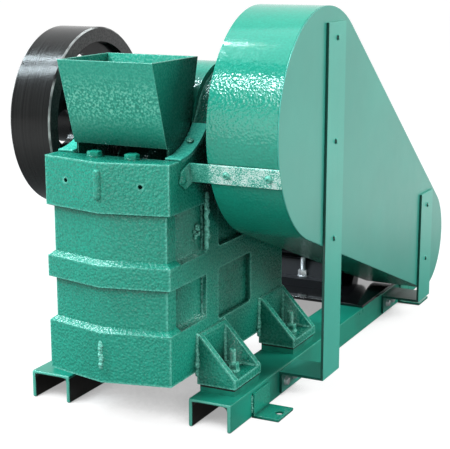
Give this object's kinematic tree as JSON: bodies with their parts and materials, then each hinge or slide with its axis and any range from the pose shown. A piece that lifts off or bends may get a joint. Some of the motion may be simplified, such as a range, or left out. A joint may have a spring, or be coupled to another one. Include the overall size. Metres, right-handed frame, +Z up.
{
  "type": "laboratory jaw crusher",
  "caption": "Small jaw crusher with a banded cast frame, feed hopper, black flywheel and a guarded belt drive from its motor, standing on a channel base.",
  "frame": {"origin": "on the floor, at the centre of the four foundation bolt holes in the floor lugs", "axes": "+X to the belt guard's side, +Y to the motor at the rear, +Z up"},
  "size_m": [0.4245, 0.875, 0.5516],
  "materials": {
    "green_enamel": "glossy green enamel with orange peel",
    "black_paint": "satin black paint",
    "black_iron": "turned iron under black lacquer",
    "jaw_steel": "cast manganese steel",
    "machined_steel": "turned",
    "bright_zinc": "zinc plated",
    "belt_rubber": "matt"
  },
  "bodies": {
    "frame": {"left_base_channel": "green_enamel", "right_base_channel": "green_enamel", "front_left_lug": "green_enamel", "front_right_lug": "green_enamel", "rear_left_lug": "green_enamel", "rear_right_lug": "green_enamel", "front_wall": "green_enamel", "left_side_wall": "green_enamel", "right_side_wall": "green_enamel", "rear_wall": "green_enamel", "front_left_gusset": "green_enamel", "front_right_gusset": "green_enamel", "rear_left_gusset": "green_enamel", "rear_right_gusset": "green_enamel", "swing_jaw": "green_enamel", "hopper": "green_enamel", "left_cover_strip": "green_enamel", "right_cover_strip": "green_enamel", "pitman_cover": "green_enamel", "left_bearing_housing": "green_enamel", "right_bearing_housing": "green_enamel", "guard_rim": "green_enamel", "guard_face": "green_enamel", "front_guard_strap": "green_enamel", "rear_guard_strap": "green_enamel", "guard_bar": "green_enamel", "gusset_pads": "black_paint", "motor_plate": "black_paint", "motor_body": "black_paint", "motor_front_shield": "black_paint", "motor_fan_cowl": "black_paint", "terminal_box": "black_paint", "motor_pulley": "black_iron", "fixed_jaw_plate": "jaw_steel", "swing_jaw_plate": "jaw_steel", "left_cheek_plate": "jaw_steel", "right_cheek_plate": "jaw_steel", "toggle_plate": "jaw_steel", "motor_shaft": "machined_steel", "tension_rod": "machined_steel", "return_spring": "bright_zinc", "drive_belts": "belt_rubber"},
    "rotor": {"eccentric_shaft": "machined_steel", "flywheel": "black_iron", "sheave": "black_iron"}
  },
  "joints": [
    {"name": "flywheel_spin", "type": "hinge", "parent": "frame", "child": "rotor", "pos_m": [0, -0.253, 0.386], "axis": [1, 0, 0], "continuous": true}
  ]
}
